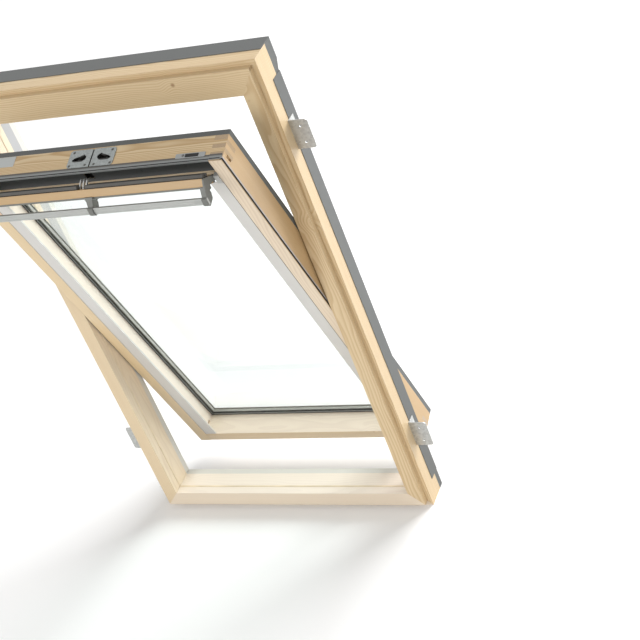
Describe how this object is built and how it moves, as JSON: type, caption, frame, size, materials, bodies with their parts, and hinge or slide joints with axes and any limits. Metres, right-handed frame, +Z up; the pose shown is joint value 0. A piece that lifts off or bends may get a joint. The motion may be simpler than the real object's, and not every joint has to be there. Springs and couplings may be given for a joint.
{
  "type": "roof skylight",
  "caption": "Centre-pivot pine roof window with a ventilation flap and control bar along its top rail, shown open in its frame.",
  "frame": {"origin": "middle of the sill's underside, half way through the frame's depth", "axes": "+X right as seen from the room, +Y outward to the weather side, +Z up the window's height"},
  "size_m": [1.052, 0.5835, 1.6015],
  "materials": {
    "pine": "clear lacquered pine",
    "grey_aluminium": "matt dark grey lacquer",
    "plain_aluminium": "satin anodised",
    "galvanised_steel": "galvanised",
    "cast_zinc": "die-cast grey",
    "black_rubber": "matt",
    "pale_seal": "matt grey",
    "glass": "clear",
    "bare_plate": "satin, bare"
  },
  "bodies": {
    "frame": {"frame_head": "pine", "frame_sill": "pine", "frame_left_jamb": "pine", "frame_right_jamb": "pine", "frame_seal": "pale_seal", "frame_hinge_left": "galvanised_steel", "frame_hinge_right": "galvanised_steel", "pivot_pins": "galvanised_steel", "frame_screws": "galvanised_steel", "lock_striker": "galvanised_steel", "fixing_bracket_low_left": "galvanised_steel", "fixing_bracket_low_right": "galvanised_steel", "fixing_bracket_high_left": "galvanised_steel", "fixing_bracket_high_right": "galvanised_steel", "frame_left_cover": "grey_aluminium", "frame_right_cover": "grey_aluminium", "frame_bottom_cover": "grey_aluminium", "frame_top_cover": "grey_aluminium"},
    "sash": {"sash_top_rail": "pine", "sash_bottom_rail": "pine", "sash_left_stile": "pine", "sash_right_stile": "pine", "sash_hinge_left": "galvanised_steel", "sash_hinge_right": "galvanised_steel", "sash_screws": "galvanised_steel", "inner_pane": "glass", "outer_pane": "glass", "glass_spacer": "plain_aluminium", "glass_edge_sealant": "black_rubber", "glazing_gasket": "black_rubber", "gasket_corner_blocks": "black_rubber", "blind_rail_left": "plain_aluminium", "blind_rail_right": "plain_aluminium", "sash_left_cover": "grey_aluminium", "sash_right_cover": "grey_aluminium", "sash_top_cover": "grey_aluminium", "sash_bottom_cover": "grey_aluminium", "sash_side_seals": "pale_seal", "sash_bottom_seal": "pale_seal", "vent_lip": "plain_aluminium", "vent_lip_seal": "black_rubber", "vent_channel_lining": "grey_aluminium", "lock_plate_right": "galvanised_steel", "lock_plate_left": "galvanised_steel", "claw_rivets": "galvanised_steel", "vent_keeper": "cast_zinc", "bare_plate": "bare_plate", "flap_pin_carriers": "black_rubber", "flap_pins": "galvanised_steel"},
    "vent_flap_body": {"vent_flap": "pine", "flap_seal": "black_rubber", "flap_strip": "grey_aluminium", "flap_link_arms": "cast_zinc", "bar_bracket_right": "cast_zinc", "bar_bracket_left": "cast_zinc", "bar_bracket_centre": "cast_zinc", "flap_rail": "plain_aluminium", "control_bar": "plain_aluminium"},
    "claw_right_body": {"lock_claw_right": "cast_zinc"},
    "claw_left_body": {"lock_claw_left": "cast_zinc"}
  },
  "joints": [
    {"name": "sash_pivot", "type": "hinge", "parent": "frame", "child": "sash", "pos_m": [0, 0.021, 0.815], "axis": [1, 0, 0], "range_deg": [-17.6, 142.4]},
    {"name": "flap_hinge", "type": "hinge", "parent": "sash", "child": "vent_flap_body", "pos_m": [0, -0.22968, 1.38698], "axis": [1, 0, 0], "range_deg": [-48, 0]},
    {"name": "claw_right_pivot", "type": "hinge", "parent": "sash", "child": "claw_right_body", "pos_m": [0.016, -0.19533, 1.44403], "axis": [0, 0.9532, 0.3024], "range_deg": [-42, 0]},
    {"name": "claw_left_pivot", "type": "hinge", "parent": "sash", "child": "claw_left_body", "pos_m": [-0.016, -0.19533, 1.44403], "axis": [0, 0.9532, 0.3024], "range_deg": [0, 42]}
  ],
  "couplings": [
    {"joint": "claw_right_pivot", "follows": "flap_hinge", "ratio": 0.875},
    {"joint": "claw_left_pivot", "follows": "flap_hinge", "ratio": -0.875}
  ]
}
